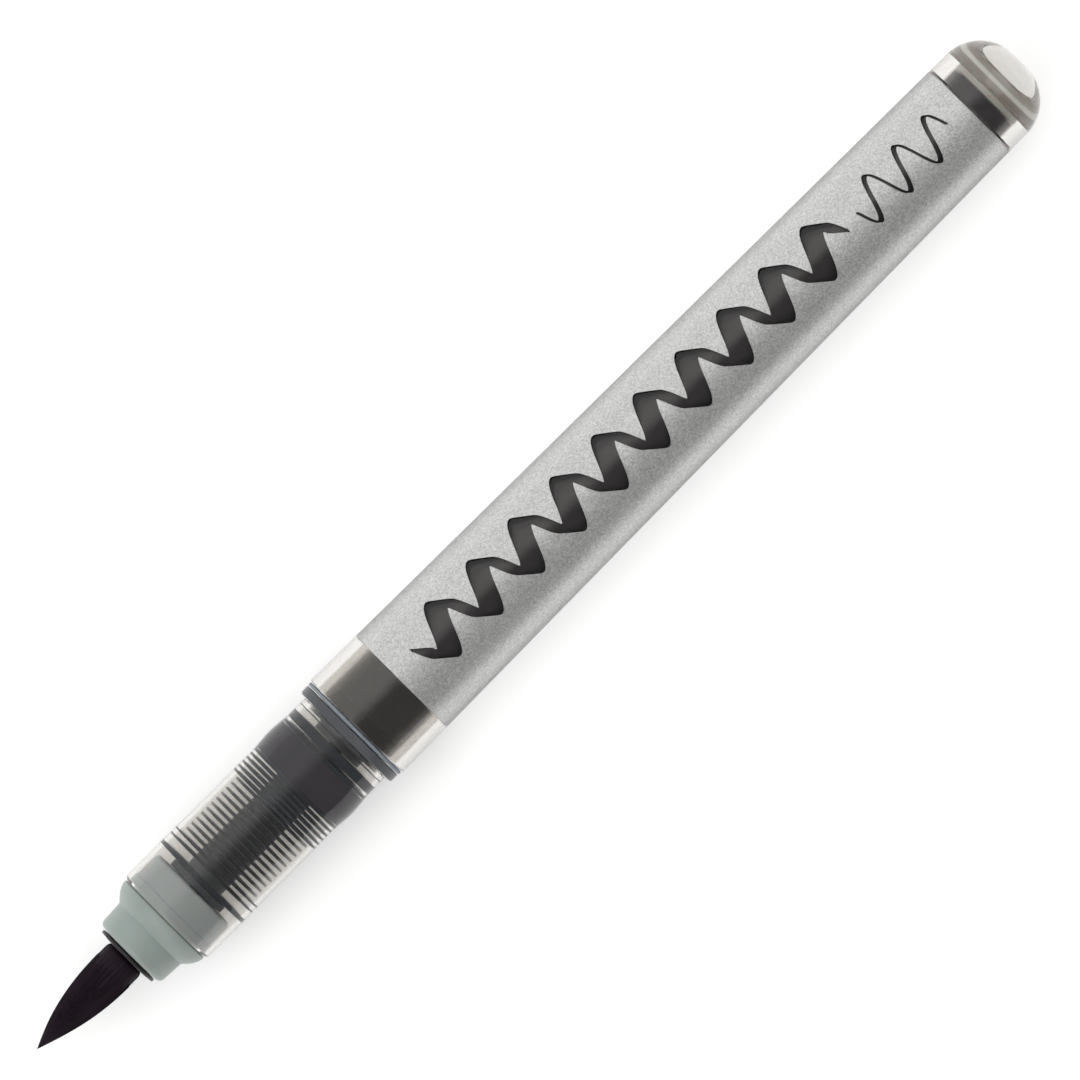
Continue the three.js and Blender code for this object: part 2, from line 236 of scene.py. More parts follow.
def turned(name: str, outline: np.ndarray) -> bpy.types.Object:
    """Turn an outline about the marker's axis.

    The surface is place(s(v), r(v), a(u)): u runs round the axis and v along the outline. Points on the
    axis become one vertex each. The faces look away from the side that the outline encloses.

    Args:
        name: The piece's name.
        outline: Stations and radii; it closes on itself, or has both ends on the axis.

    Returns:
        The new object.
    """
    on_axis = outline[:, 1] < ON_AXIS
    open_ends = bool(on_axis[0] and on_axis[-1])
    angle = around_axis(SIDES)
    grid = AXIS.place(outline[:, 0][None, :], outline[:, 1][None, :], angle[:, None])
    index = np.arange(SIDES * len(outline)).reshape(SIDES, len(outline))
    index[:, on_axis] = index[0, on_axis]
    columns = np.arange(len(outline) - 1 if open_ends else len(outline))
    ahead = (columns + 1) % len(outline)
    around = np.roll(index, -1, axis=0)
    quads = np.stack([index[:, columns], around[:, columns], around[:, ahead], index[:, ahead]], axis=-1)
    station, radius = outline.T
    enclosed = np.sum(station * np.roll(radius, -1) - np.roll(station, -1) * radius)
    if enclosed > 0:
        quads = quads[..., ::-1]
    quads = quads.reshape(-1, 4)
    wide = (quads[:, 0] != quads[:, 1]) & (quads[:, 2] != quads[:, 3])
    thin = quads[~wide]
    corners = [list(dict.fromkeys(face)) for face in thin.tolist()]
    used = np.unique(quads)
    lookup = np.full(index.max() + 1, -1)
    lookup[used] = np.arange(len(used))
    faces = lookup[quads[wide]].tolist() + [lookup[face].tolist() for face in corners]
    return mesh_from_grid(name, grid.reshape(-1, 3)[used], faces)


# ---------------------------------------------------------------- shader maths


class Value:
    """A shader socket that takes part in sums, so that arithmetic adds Math nodes."""

    def __init__(self, graph: "Graph", socket: bpy.types.NodeSocket) -> None:
        """Wrap a socket of a graph."""
        self.graph = graph
        self.socket = socket

    def __add__(self, other: "Value | float") -> "Value":
        """Add."""
        return self.graph.math("ADD", self, other)

    __radd__ = __add__

    def __mul__(self, other: "Value | float") -> "Value":
        """Multiply."""
        return self.graph.math("MULTIPLY", self, other)

    __rmul__ = __mul__

    def __sub__(self, other: "Value | float") -> "Value":
        """Subtract."""
        return self.graph.math("SUBTRACT", self, other)

    def __rsub__(self, other: float) -> "Value":
        """Subtract this from a number."""
        return self.graph.math("SUBTRACT", other, self)

    def __truediv__(self, other: "Value | float") -> "Value":
        """Divide."""
        return self.graph.math("DIVIDE", self, other)

    def __pow__(self, other: float) -> "Value":
        """Raise to a power."""
        return self.graph.math("POWER", self, other)

    def between(self, low: float, high: float, kind: str = "LINEAR") -> "Value":
        """Rise from 0 at low to 1 at high, and stay within those."""
        settings = {"clamp": True, "interpolation_type": kind}
        node = self.graph.node("ShaderNodeMapRange", settings, {0: self, 1: low, 2: high})
        return Value(self.graph, node.outputs[0])


Colour = tuple[float, float, float]


class Graph:
    """The node tree of one new material, or of the world."""

    def __init__(
        self, owner: bpy.types.Material | bpy.types.World, shader: str = "Principled BSDF"
    ) -> None:
        """Start from the owner's own shader.

        Args:
            owner: A new material or world.
            shader: Name of the shader node that it starts with.
        """
        owner.use_nodes = True
        self.tree = owner.node_tree
        self.surface = self.tree.nodes[shader]

    def node(self, kind: str, settings: dict[str, Any], inputs: dict[Any, Any]) -> bpy.types.Node:
        """Add a node.

        Args:
            kind: The node's type.
            settings: Its own settings, which are set first.
            inputs: Values or sockets for its inputs, by name or number.

        Returns:
            The new node.
        """
        made = self.tree.nodes.new(kind)
        for key, value in settings.items():
            setattr(made, key, value)
        for key, value in inputs.items():
            self.feed(made.inputs[key], value)
        return made

    def feed(self, socket: bpy.types.NodeSocket, value: Any) -> None:
        """Give a socket a number, a colour or a link.

        Args:
            socket: The input socket.
            value: A number, a sequence of numbers, a Value or an output socket.
        """
        if isinstance(value, Value):
            value = value.socket
        if isinstance(value, bpy.types.NodeSocket):
            self.tree.links.new(value, socket)
        elif isinstance(value, (tuple, list)) and len(value) == 3 and socket.type == "RGBA":
            socket.default_value = (*value, 1.0)
        else:
            socket.default_value = value

    def set(self, **values: Any) -> None:
        """Feed the shader's sockets, named with underscores for spaces."""
        for key, value in values.items():
            self.feed(self.surface.inputs[key.replace("_", " ")], value)

    def math(self, operation: str, first: Any, second: Any) -> Value:
        """Add a Math node.

        Args:
            operation: The node's operation.
            first: The first number or value.
            second: The second number or value.

        Returns:
            The result.
        """
        made = self.node("ShaderNodeMath", {"operation": operation}, {0: first, 1: second})
        return Value(self, made.outputs[0])

    def place(self, stretch: tuple[float, float, float] = (1, 1, 1)) -> bpy.types.NodeSocket:
        """Give the object's own coordinates, scaled along each axis."""
        where = self.node("ShaderNodeTexCoord", {}, {})
        scaled = self.node("ShaderNodeMapping", {}, {"Vector": where.outputs["Object"], "Scale": stretch})
        return scaled.outputs["Vector"]

    def noise(
        self, scale: float, detail: float = 3.0, stretch: tuple[float, float, float] = (1, 1, 1)
    ) -> Value:
        """Add a noise pattern.

        Args:
            scale: Cells for each metre.
            detail: Number of finer layers.
            stretch: Scale along each axis.

        Returns:
            A value round 0.5.
        """
        inputs = {"Vector": self.place(stretch), "Scale": scale, "Detail": detail, "Roughness": 0.55}
        made = self.node("ShaderNodeTexNoise", {}, inputs)
        return Value(self, made.outputs["Fac"])

    def cells(self, scale: float) -> Value:
        """Add a pattern of cells, each with one random grey.

        Args:
            scale: Cells for each metre.

        Returns:
            A value from 0 to 1.
        """
        made = self.node("ShaderNodeTexVoronoi", {}, {"Vector": self.place(), "Scale": scale})
        split = self.node("ShaderNodeSeparateColor", {}, {0: made.outputs["Color"]})
        return Value(self, split.outputs[0])

    def blend(self, share: Value, low: Any, high: Any) -> bpy.types.NodeSocket:
        """Mix two colours by a share."""
        made = self.node("ShaderNodeMix", {"data_type": "RGBA"}, {0: share, 6: low, 7: high})
        return made.outputs[2]

    def axes(self) -> dict[str, Value]:
        """Give the object's own X, Y and Z, in metres."""
        parts = self.node("ShaderNodeSeparateXYZ", {}, {0: self.place()})
        return {axis: Value(self, parts.outputs[axis]) for axis in "XYZ"}

    def bump(self, height: Value, strength: float, distance: float) -> bpy.types.NodeSocket:
        """Turn a height into a normal.

        Args:
            height: The height, from 0 to 1.
            strength: Share of the bump that shows.
            distance: What a height of 1 measures, in millimetres.

        Returns:
            The normal's socket.
        """
        inputs = {"Strength": strength, "Distance": distance * MM, "Height": height}
        made = self.node("ShaderNodeBump", {}, inputs)
        return made.outputs["Normal"]


# ---------------------------------------------------------------- finishes


@dataclass(frozen=True)
class Finish:
    """A finish, which feeds the shader of a material of its own."""

    name: str

    def paint(self, graph: Graph) -> None:
        """Feed the shader of the finish's graph."""
        raise NotImplementedError

    def make(self) -> bpy.types.Material:
        """Build the material."""
        material = bpy.data.materials.new(self.name)
        self.paint(Graph(material))
        return material


@dataclass(frozen=True)
class ClearPlastic(Finish):
    """Clear moulded plastic, faintly warm, with hair scratches from use."""

    name: str = "clear_plastic"
    tint: Colour = (0.765, 0.747, 0.72)
    ior: float = 1.49
    gloss: float = 0.02
    wear: float = 0.05

    def paint(self, graph: Graph) -> None:
        """Feed the shader."""
        scratches = graph.noise(900, 2, (0.12, 1, 1)).between(0.62, 0.78)
        flow = graph.noise(180, 2, (0.3, 1, 1))
        graph.set(
            Base_Color=graph.blend(flow, self.tint, tuple(0.985 * part for part in self.tint)),
            Transmission_Weight=1.0,
            IOR=self.ior,
            Roughness=self.gloss + self.wear * scratches,
        )


@dataclass(frozen=True)
class SilverCoating(Finish):
    """Silver lacquer with fine metal flakes."""

    name: str = "silver_coating"
    light: Colour = (0.74, 0.74, 0.735)
    dark: Colour = (0.45, 0.45, 0.445)

    def paint(self, graph: Graph) -> None:
        """Feed the shader."""
        flakes = graph.cells(8600)
        cloud = graph.noise(6800, 2)
        share = (flakes * 0.6 + cloud * 0.4).between(0.15, 0.85)
        graph.set(
            Base_Color=graph.blend(share, self.dark, self.light),
            Metallic=0.9,
            Roughness=0.36 + 0.1 * flakes,
            Specular_Tint=(0.25, 0.25, 0.25, 1.0),
            Coat_Weight=0.08,
            Coat_Roughness=0.25,
            Normal=graph.bump(flakes, 0.35, 0.02),
        )


@dataclass(frozen=True)
class PalePlastic(Finish):
    """Pale moulded plastic, slightly milky, with a soft shine. Behind clear plastic its colour is lifted as
    painted light, making up for the little light that reaches it through the clear wall.
    """

    light: Colour
    dark: Colour
    painted_light_behind_glass: Colour  # its colour where it stands behind clear plastic: painted light, far lighter than its own colour
    edge: float  # X where the painted light begins, in metres
    fade: float = 0.0001  # length over which it begins, in metres
    gloss: float = 0.36
    milky: float = 0.25

    def paint(self, graph: Graph) -> None:
        """Feed the shader."""
        flow = graph.noise(260, 4, (0.5, 1, 1))
        grain = graph.noise(5200, 2)
        # its own colour, with flow marks
        dry = graph.blend(flow.between(0.3, 0.7), self.dark, self.light)
        # painted light: from edge on, the lighter colour behind clear plastic takes over
        inside = graph.axes()["X"].between(self.edge, self.edge + self.fade)
        graph.set(
            Base_Color=graph.blend(inside, dry, self.painted_light_behind_glass),
            Roughness=self.gloss + 0.12 * (grain - 0.5),
            Subsurface_Weight=self.milky,
            Subsurface_Scale=0.0015,
            Normal=graph.bump(grain, 0.12, 0.01),
        )


@dataclass(frozen=True)
class StainedPlastic(Finish):
    """Smoky plastic that ink has soaked and stained unevenly. Where a hub is set, its colour is lifted as
    painted light, for the shade between the fins.
    """

    name: str = "stained_plastic"
    dry: Colour = (0.066, 0.082, 0.102)
    wet: Colour = (0.026, 0.032, 0.043)
    hub_front_stain_and_painted_light: Colour = (0.42, 0.46, 0.53)  # the hub's colour at the front, lighter where ink seldom reaches, and lifted as painted light for the shade between the fins
    # the hub's colour at the rear, lifted as painted light in the same way
    hub_rear_stain_and_painted_light: Colour = (0.25, 0.28, 0.32)
    hub: tuple[float, float] = (-0.002, -0.001)  # radii between which the hub's shade ends, in metres
    run: tuple[float, float] = (-1.0, -0.9)  # X from the hub's front to its rear, in metres
    gloss: float = 0.3

    def paint(self, graph: Graph) -> None:
        """Feed the shader."""
        stain = graph.noise(160, 3).between(0.35, 0.7)
        along, across, up = graph.axes().values()
        up = up - AXIS.height
        away = (across * across + up * up) ** 0.5
        # painted light: the hub's lifted colour, running from front to rear
        hub = graph.blend(along.between(*self.run), self.hub_front_stain_and_painted_light, self.hub_rear_stain_and_painted_light)
        fins = graph.blend(stain, self.wet, self.dry)
        graph.set(
            Base_Color=graph.blend(away.between(*self.hub), hub, fins),
            Roughness=self.gloss + 0.15 * stain,
            Specular_IOR_Level=0.25,
        )


@dataclass(frozen=True)
class Ink(Finish):
    """Deep purple-black ink, wet against the plastic. Its colours are lifted as painted light, standing in
    for reflections in the clear walls and the light that reaches the ink through them.
    """

    name: str = "ink"
    # two tones of swirling ink, both lifted as painted light
    deep: Colour = (0.14, 0.125, 0.16)
    thin: Colour = (0.22, 0.19, 0.245)

    def paint(self, graph: Graph) -> None:
        """Feed the shader."""
        swirl = graph.noise(150, 3, (0.25, 1, 1)).between(0.35, 0.7)
        graph.set(
            Base_Color=graph.blend(swirl, self.deep, self.thin),
            Roughness=0.4 + 0.2 * swirl,
            IOR=1.33,
            Specular_IOR_Level=0.05,
        )


@dataclass(frozen=True)
class DarkMoulding(Finish):
    """Black plastic or rubber with a fine grain."""

    colour: Colour
    gloss: float

    def paint(self, graph: Graph) -> None:
        """Feed the shader."""
        grain = graph.noise(4200, 3)
        lighter = tuple(1.5 * part for part in self.colour)
        graph.set(
            Base_Color=graph.blend(grain.between(0.35, 0.75), self.colour, lighter),
            Roughness=self.gloss + 0.14 * (grain - 0.5),
            Normal=graph.bump(grain, 0.15, 0.01),
        )


@dataclass(frozen=True)
class Filaments(Finish):
    """Fine synthetic filaments or pressed fibre, dark with ink."""

    deep: Colour
    light: Colour
    gloss: float

    def paint(self, graph: Graph) -> None:
        """Feed the shader."""
        strands = graph.noise(7000, 2, (0.03, 1, 1))
        cloud = graph.noise(500, 3)
        share = (strands * 0.7 + cloud * 0.3).between(0.35, 0.65)
        graph.set(
            Base_Color=graph.blend(share, self.deep, self.light),
            Roughness=self.gloss + 0.15 * strands,
            Specular_IOR_Level=0.14,
            Normal=graph.bump(strands, 0.3, 0.02),
        )


@dataclass(frozen=True)
class PaleGround(Finish):
    """The plain pale ground."""

    name: str = "pale_ground"
    light: Colour = (0.93, 0.93, 0.925)
    dark: Colour = (0.9, 0.9, 0.9)
    glow: float = 0.36

    def paint(self, graph: Graph) -> None:
        """Feed the shader."""
        cloud = graph.noise(9, 4)
        graph.set(
            Base_Color=graph.blend(cloud, self.dark, self.light),
            Roughness=0.75,
            Specular_IOR_Level=0.2,
            Emission_Color=(1.0, 1.0, 1.0),
            Emission_Strength=self.glow,
        )


class Finishes:
    """One material of each finish."""

    def __init__(self) -> None:
        """Make the materials."""
        hub = (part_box("front_collector")[0][0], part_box("rear_collector")[0][0])
        self.clear = ClearPlastic().make()
        self.silver = SilverCoating().make()
        self.nose = PalePlastic(
            "pale_nose",
            light=(0.31, 0.36, 0.34),
            dark=(0.275, 0.322, 0.302),
            # painted light: the nose's lighter colour where it stands behind the clear section
            painted_light_behind_glass=(0.74, 0.84, 0.88),
            edge=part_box("section_sleeve")[0][0],
        ).make()
        self.plug = PalePlastic(
            "grey_plug",
            light=(0.55, 0.52, 0.49),
            dark=(0.49, 0.46, 0.43),
            # painted light: the plug's lighter colour where it stands behind the clear barrel
            painted_light_behind_glass=(0.88, 0.85, 0.81),
            edge=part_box("tank_end_plug")[0][0] + 0.002,
        ).make()
        self.stained = StainedPlastic(hub=(0.0024, 0.0031), run=hub).make()
        self.washed = StainedPlastic("washed_plastic", (0.3, 0.33, 0.37), (0.2, 0.22, 0.25)).make()
        self.smoky = StainedPlastic("smoky_plastic", (0.1, 0.105, 0.112), (0.066, 0.071, 0.078)).make()
        self.ink = Ink().make()
        # pooled ink: darker tones, also lifted as painted light
        self.pooled = Ink("pooled_ink", (0.07, 0.065, 0.08), (0.105, 0.095, 0.115)).make()
        self.black = DarkMoulding("black_plastic", (0.004, 0.0045, 0.0045), 0.4).make()
        self.rubber = DarkMoulding("dark_rubber", (0.012, 0.012, 0.013), 0.65).make()
        self.seal = DarkMoulding("grey_rubber", (0.17, 0.195, 0.225), 0.6).make()
        self.brush = Filaments("wet_brush", (0.006, 0.003, 0.006), (0.019, 0.0095, 0.018), 0.5).make()
        self.fibre = Filaments("ink_fibre", (0.012, 0.01, 0.014), (0.04, 0.034, 0.042), 0.6).make()


def dress(
    piece: bpy.types.Object, finish: bpy.types.Material, body: Body, slot: str, *nodes: str
) -> None:
    """Give a piece its finish and body, and hide the nodes that it stands for.

    Args:
        piece: The piece.
        finish: Its material.
        body: The body that it rides on.
        slot: Not used.
        nodes: Names of the nodes that it replaces.
    """
    piece.data.materials.clear()
    piece.data.materials.append(finish)
    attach(piece, body.value)
    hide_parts(*nodes)
    log.info("%s: %d faces on %s", piece.name, len(piece.data.polygons), body.value)


def redress(node: str, finish: bpy.types.Material) -> None:
    """Give a node that stays visible a better material.

    Args:
        node: The node's name.
        finish: The material.
    """
    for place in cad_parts[node].material_slots:
        place.material = finish
    log.info("%s: kept from the frame", node)


# ---------------------------------------------------------------- sub-assemblies


@dataclass
class Brush:
    """The wet brush: a core of packed filaments and a coat of loose ones."""

    length: float = 11.0  # from the point to the widest place
    radius: float = 2.24
    heel: float = 1.52  # from the widest place to the collar
    fullness: float = 2.1
    furrow: float = 0.035
    furrows: int = 46
    hook: float = 0.16  # how far the point leans to one side
    hook_length: float = 4.5
    tuck: float = 0.25  # how far the heel draws in at the collar
    core_start: float = 0.012  # station of the core's point
    core_sides: int = 288
    core_rows: int = 90
    strands: int = 420
    strand_rows: int = 12
    strand_radius: float = 0.05
    coat_radius: float = 2.272  # no filament's middle lies farther out
    bend_start: float = 12.6  # a station near the collar
    bend_end: float = 6.5  # a station in the brush's front half
    seed: int = 11

    def leaf(self, share: np.ndarray) -> np.ndarray:
        """Give the core's radius at a share of its length: r = R (1 - (1 - s)^f)."""
        return self.radius * (1 - (1 - share) ** self.fullness)

    def lean(self, points: np.ndarray) -> np.ndarray:
        """Push points near the brush's point to one side, more the nearer they are.

        Args:
            points: Positions in metres.

        Returns:
            The moved positions.
        """
        station = (points[..., 0] - AXIS.point) / MM
        near = np.clip(1 - station / self.hook_length, 0, 1)
        moved = points.copy()
        moved[..., 1] -= self.hook * near**2 * MM
        return moved

    def core(self) -> bpy.types.Object:
        """Build the core.

        The surface is place(s, r(s) (1 - f k(a, s)), a), where k is a sum of three sines of the angle that
        drift slowly along the brush, so that the furrows part and meet like wet filaments.
        """
        sides = self.core_sides
        share = np.linspace(0.004, 1, self.core_rows) ** 1.25
        heel = np.linspace(0, 1, 12)[1:]
        station = np.concatenate([share * self.length, self.length + heel * self.heel])
        radius = np.concatenate([self.leaf(share), self.radius - self.tuck * heel**8])
        angle = around_axis(sides)
        along = station / self.length
        wave = sum(
            np.sin(count * angle[:, None] + drift * along[None, :] + phase)
            for count, drift, phase in (
                (self.furrows, 2.2, 0.3), (self.furrows + 17, -3.1, 1.1),
                (self.furrows // 2 + 4, 1.4, 2.0),
            )
        )
        depth = self.furrow * np.clip(radius / self.radius, 0.15, 1)
        furrowed = radius[None, :] - depth[None, :] * (1 + wave / 3)
        grid = self.lean(AXIS.place(station[None, :], furrowed, angle[:, None]))
        tip = self.lean(np.array([AXIS.on(self.core_start)]))
        index = np.arange(sides * len(station)).reshape(sides, len(station)) + 1
        around = np.roll(index, -1, axis=0)
        quads = np.stack([index[:, :-1], around[:, :-1], around[:, 1:], index[:, 1:]], axis=-1)
        cone = np.stack([np.zeros(sides, int), around[:, 0], index[:, 0]], axis=-1)
        faces = quads.reshape(-1, 4).tolist() + cone.tolist() + [index[:, -1].tolist()]
        return mesh_from_grid("brush_core", np.vstack([tip, grid.reshape(-1, 3)]), faces)

    def coat(self) -> bpy.types.Object:
        """Build the loose filaments.

        Each is a thin tapered rod with four sides that follows the leaf from near the collar to a place in
        the front half, a little over the core, and closes in a point.
        """
        rng = np.random.default_rng(self.seed)
        rows = self.strand_rows
        angle = rng.uniform(0, 2 * math.pi, self.strands)
        start = self.length * rng.uniform(0.72, 1.0, self.strands)
        end = self.length * rng.beta(1.1, 3.2, self.strands) * 0.75 + 0.05
        run = np.linspace(0, 1, rows)
        station = start[:, None] + (end - start)[:, None] * run
        twist = angle[:, None] + rng.normal(0, 0.05, self.strands)[:, None] * run**2
        lift = rng.uniform(0.0, 0.03, self.strands)[:, None] * np.sin(run * math.pi)
        over = self.leaf(np.clip(station / self.length, 0, 1)) - 0.02 + lift
        over = np.clip(over, 0, self.coat_radius)
        thick = self.strand_radius * rng.uniform(0.6, 1.0, self.strands)[:, None]
        thick = thick * np.clip(1 - run, 0.04, 1) ** 0.5 * np.clip(over / 0.8, 0.25, 1)
        corner = np.arange(4) * math.pi / 2
        radius = over[..., None] + thick[..., None] * np.cos(corner)
        sweep = twist[..., None] + thick[..., None] * np.sin(corner) / np.maximum(over[..., None], 0.05)
        grid = self.lean(AXIS.place(station[..., None], radius, sweep))
        index = np.arange(self.strands * rows * 4).reshape(self.strands, rows, 4)
        side = np.roll(index, -1, axis=2)
        quads = np.stack([index[:, :-1], index[:, 1:], side[:, 1:], side[:, :-1]], axis=-1)
        caps = np.concatenate([index[:, 0], index[:, -1, ::-1]])
        faces = np.concatenate([quads.reshape(-1, 4), caps]).tolist()
        return mesh_from_grid("brush_filaments", grid, faces)

    def build(self, finishes: Finishes) -> None:
        """Build the brush in place of the frame's tuft.

        Args:
            finishes: The materials.
        """
        start, end = AXIS.on(self.bend_start), AXIS.on(self.bend_end)
        for piece, nodes in ((self.core(), ("brush_tuft",)), (self.coat(), ())):
            piece.data.materials.append(finishes.brush)
            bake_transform(piece)
            if nodes:
                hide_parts(*nodes)
            log.info("%s: %d faces, bends with the tip", piece.name, len(piece.data.polygons))


@dataclass
class Nose:
    """The collar, the pale nose that it stands in, and the rubber seal behind."""

    collar_radius: float = 3.47
    collar_thickness: float = 0.4
    collar_bore: float = 1.82
    lip_radius: float = 2.75  # of the low step round the brush
    lip_foot: float = 2.85
    lip_height: float = 0.07
    stem_radius: float = 2.27
    radius: float = 4.1
    taper: float = 0.15
    length: float = 2.83
    edge: float = 0.6
    shoulder_radius: float = 5.4
    land_radius: float = 5.13
    plug_radius: float = 5.0
    bore: float = 2.42
    shoulder_length: float = 2.0
    shoulder_edge: float = 0.08
    pull: float = 1.0  # how far behind the drum the shoulder's curve turns
    land_length: float = 1.3
    washer_bore: float = 0.95
    washer_radius: float = 3.4

    def collar(self) -> bpy.types.Object:
        """Build the black collar: a thin disc on a stem, with a small step round the brush."""
        start, end = AXIS.span("nib_collar")
        face, back = start + self.lip_height, start + self.collar_thickness
        corners = [
            (start, self.collar_bore, 0.05), (start, self.lip_radius, 0.04),
            (face, self.lip_foot, 0.04), (face, self.collar_radius, 0.12),
            (back, self.collar_radius, 0.08), (back, self.stem_radius, 0.0),
            (end, self.stem_radius, 0.08), (end, self.collar_bore, 0.08),
        ]
        return turned("collar", rounded(corners))

    def cone(self) -> bpy.types.Object:
        """Build the nose: a short drum, a hollow shoulder and a stepped plug inside the section."""
        start, end = AXIS.span("nose_cone")
        drum = start + self.length
        drum_radius = self.radius + self.taper
        top = drum + self.shoulder_length
        crest = top - self.shoulder_edge
        land = top + self.land_length
        curve = np.linspace(0, 1, 14)[1:-1, None]
        first, pull, last = (
            np.array([drum, drum_radius]),
            np.array([drum + self.pull, self.shoulder_radius]),
            np.array([crest, self.shoulder_radius]),
        )
        sweep = (1 - curve) ** 2 * first + 2 * curve * (1 - curve) * pull + curve**2 * last
        front = rounded([
            (start, self.bore, 0.05), (start, self.radius, self.edge), (drum - SEAM, drum_radius, 0.0),
        ], closed=False)
        rear = rounded([
            (crest, self.shoulder_radius, 0.0), (top, self.shoulder_radius - self.shoulder_edge, 0.03),
            (top, self.land_radius, 0.03), (land, self.land_radius, 0.1),
            (land, self.plug_radius, 0.03), (end, self.plug_radius, 0.5), (end, self.bore, 0.05),
        ], closed=False)
        return turned("nose", np.vstack([front, sweep, rear]))

    def build(self, finishes: Finishes) -> None:
        """Build the collar, the nose and the seal.

        Args:
            finishes: The materials.
        """
        dress(self.collar(), finishes.black, Body.NIB, "black_plastic", "nib_collar")
        dress(self.cone(), finishes.nose, Body.NIB, "pale_nose", "nose_cone")
        start, end = AXIS.span("nose_seal")
        seal = turned("nose_washer", tube(start, end, self.washer_bore, self.washer_radius, 0.1))
        dress(seal, finishes.seal, Body.SECTION, "dark_rubber", "nose_seal")
        redress("brush_root", finishes.fibre)
        redress("nib_feeder", finishes.fibre)


@dataclass
class Collector:
    """The collector: a hub with fins that hold surplus ink, and the ink that stands between them."""

    hub: float = 2.25
    bore: float = 0.95
    fin: float = 4.85
    front_disc: float = 0.45
    open_start: float = 1.36
    open_pitch: float = 0.69
    open_thickness: float = 0.22
    dense_pitch: float = 0.56
    dense_count: int = 5
    dense_thickness: float = 0.3
    chamber: float = 3.6
    chamber_disc: float = 0.4
    rear_space: float = 0.3
    rear_disc: float = 1.0
    notch_half: float = 0.45
    notch_floor: float = 3.1
    wall_front: float = 5.2  # the section's bore at its front edge
    wall_taper: float = 0.15
    wall_length: float = 24.88

    def touching(self, station: float) -> float:
        """Give the radius of something wet that touches the section's wall at a station."""
        front = AXIS.span("section_sleeve")[0]
        return self.wall_front - self.wall_taper * (station - front) / self.wall_length + CONTACT

    def fins(
        self, starts: Sequence[float], thickness: float, wet: int = 0
    ) -> list[tuple[float, float, float]]:
        """Give the corners of a row of fins.

        Args:
            starts: Station of each fin's front face.
            thickness: Thickness of each fin.
            wet: How many of them, from the front, touch the wall with ink.

        Returns:
            Station, radius and rounding of each corner.
        """
        edge = min(0.05, 0.3 * thickness)
        corners = []
        for number, start in enumerate(starts):
            radius = self.touching(start) if number < wet else self.fin
            corners += [
                (start, self.hub, 0.04), (start, radius, edge), (start + thickness, radius, edge),
                (start + thickness, self.hub, 0.04),
            ]
        return corners

    def notched(self, piece: bpy.types.Object) -> None:
        """Press the air notch into the underside.

        Where a point lies under the axis and within the notch's width, its distance from the axis is held
        to the notch's floor.

        Args:
            piece: The front of the collector.
        """
        mesh = piece.data
        points = np.empty(len(mesh.vertices) * 3, np.float64)
        mesh.vertices.foreach_get("co", points)
        points = points.reshape(-1, 3)
        across, down = points[:, 1] / MM, (points[:, 2] - AXIS.height) / MM
        radius = np.hypot(across, down)
        inside = (np.abs(across) < self.notch_half) & (down < 0) & (radius > self.notch_floor)
        points[inside, 1:] *= (self.notch_floor / radius[inside])[:, None]
        points[inside, 2] += AXIS.height * (1 - self.notch_floor / radius[inside])
        mesh.vertices.foreach_set("co", points.ravel())
        mesh.update()

    def build(self, finishes: Finishes) -> None:
        """Build both halves of the collector and the ink in them.

        Args:
            finishes: The materials.
        """
        start, end = AXIS.span("front_collector")
        count = int((end - start - self.open_start - self.open_thickness) / self.open_pitch) + 1
        starts = [start + self.open_start + self.open_pitch * index for index in range(count)]
        outline = [(start, self.bore, 0.0)]
        outline += self.fins([start], self.front_disc, 1)[1:]
        outline += self.fins(starts, self.open_thickness, 2)
        outline += [(end, self.hub, 0.0), (end, self.bore, 0.0)]
        front = turned("collector_front", rounded(outline))
        self.notched(front)
        dress(front, finishes.stained, Body.SECTION, "smoke_grey", "front_collector")

        start, end = AXIS.span("rear_collector")
        chamber = start + self.dense_pitch * self.dense_count
        starts = [start + self.dense_pitch * index for index in range(self.dense_count)]
        outline = [(start, self.bore, 0.0)]
        outline += self.fins(starts, self.dense_thickness, self.dense_count)[1:]
        discs = [chamber, chamber + self.chamber_disc + self.chamber]
        outline += self.fins(discs, self.chamber_disc, 2)
        last = discs[1] + self.chamber_disc + self.rear_space
        outline += self.fins([last], self.rear_disc, 1)[:-1] + [(end, self.bore, 0.0)]
        rear = turned("collector_rear", rounded(outline))
        dress(rear, finishes.stained, Body.SECTION, "smoke_grey", "rear_collector")

        low = chamber + self.chamber_disc + SEAM
        high = low + self.chamber - 2 * SEAM
        core = self.hub + SEAM / 2
        corners = [
            (low, core, 0.0), (low, self.touching(low), 0.05), (high, self.touching(high), 0.05),
            (high, core, 0.0),
        ]
        ink = turned("chamber_ink", rounded(corners))
        dress(ink, finishes.pooled, Body.SECTION, "dark_ink", "collector_ink")


